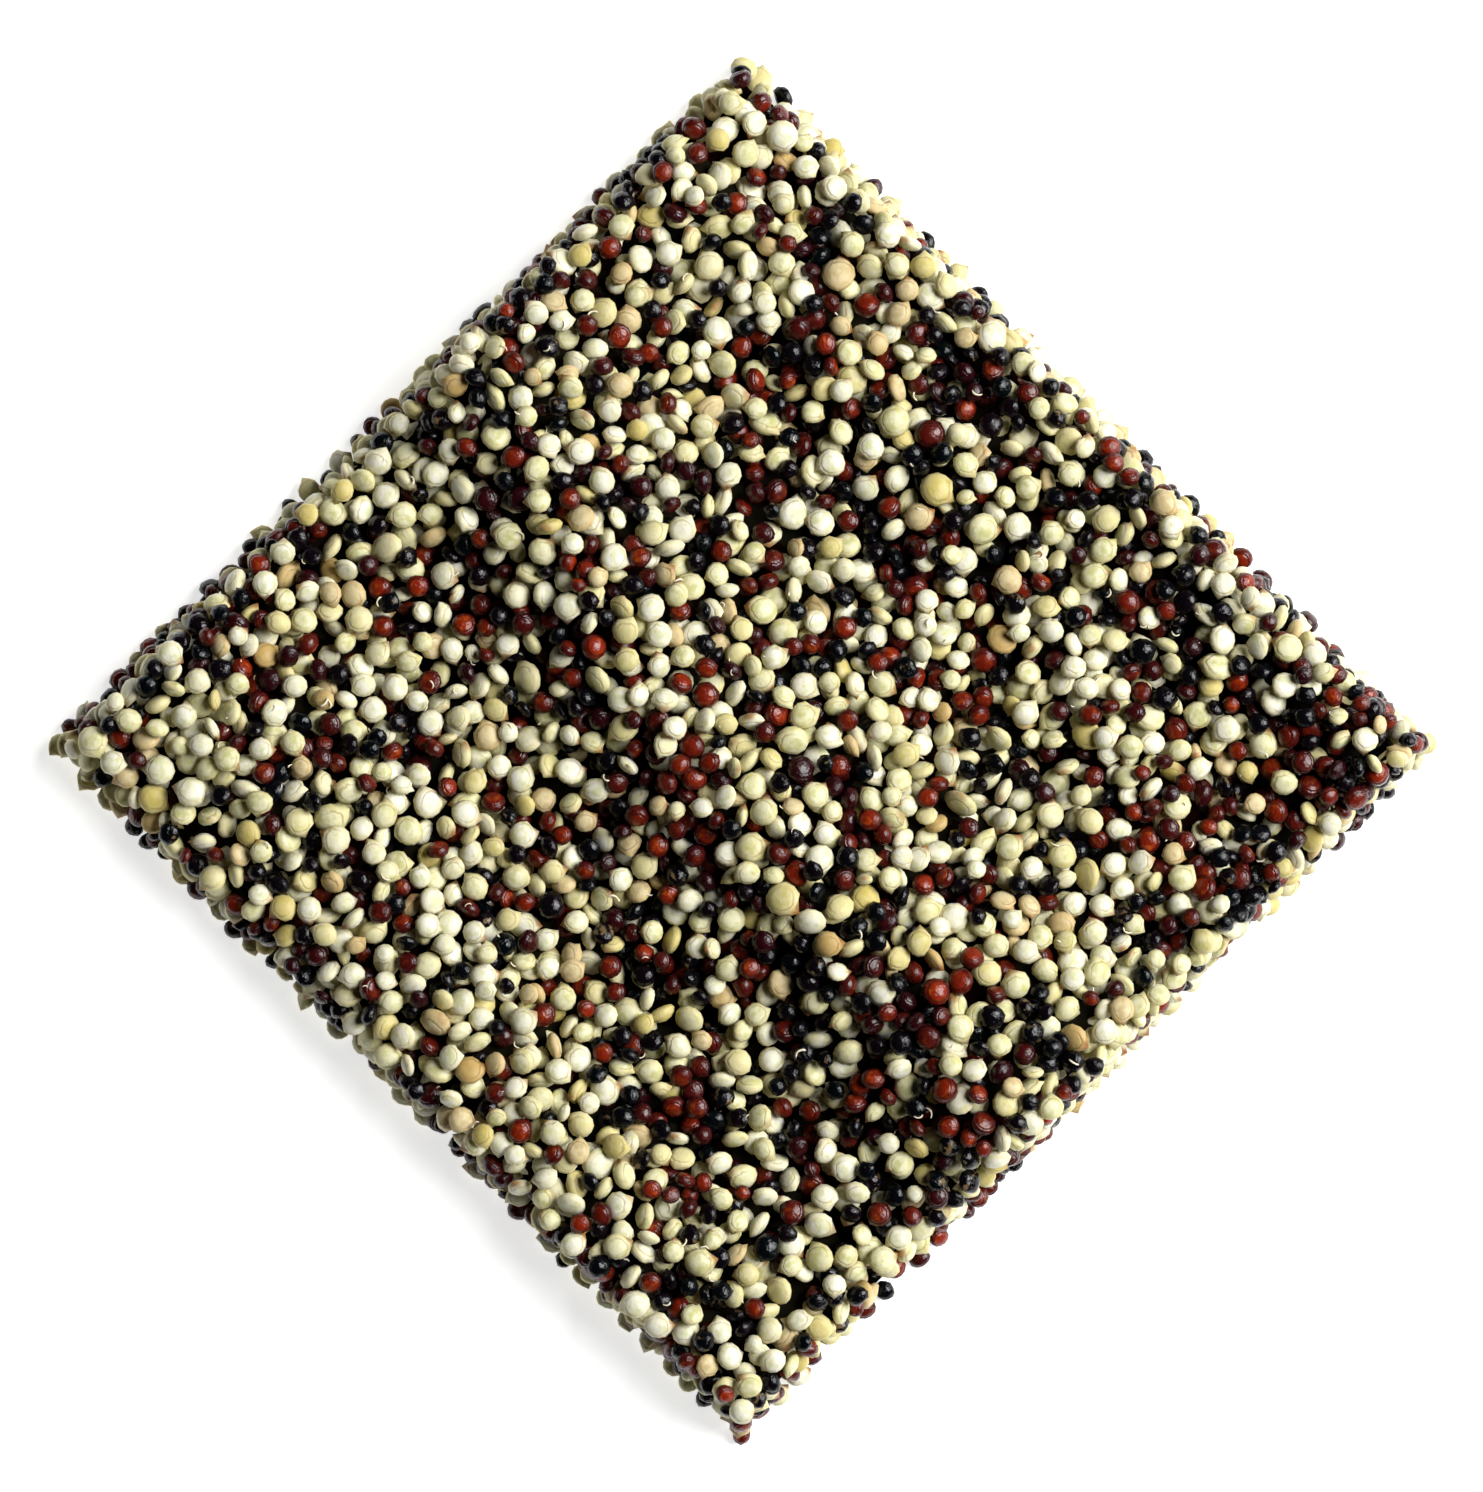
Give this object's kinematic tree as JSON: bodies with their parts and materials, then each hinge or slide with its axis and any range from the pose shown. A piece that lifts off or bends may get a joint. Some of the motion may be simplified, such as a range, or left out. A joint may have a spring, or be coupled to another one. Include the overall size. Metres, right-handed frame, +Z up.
{
  "type": "bed of tricolour quinoa",
  "caption": "Loose dry quinoa in white, red and black seeds, poured into a shallow square bed with low ridges and furrows and no dish.",
  "frame": {"origin": "centre of the square foot, on the surface that the bed rests on", "axes": "+Z up out of the bed; +X along the ridges; +Y across them, up the steep flank of the tallest ridge"},
  "size_m": [0.0812, 0.0811, 0.0133],
  "materials": {
    "white_seed": "satin seed coat, cream to ivory, with a yellower rim",
    "red_seed": "glossy red-brown to maroon seed coat",
    "black_seed": "satin blue-black, slightly wrinkled seed coat"
  },
  "bodies": {
    "root": {"quinoa_bed": "white_seed"}
  },
  "joints": []
}
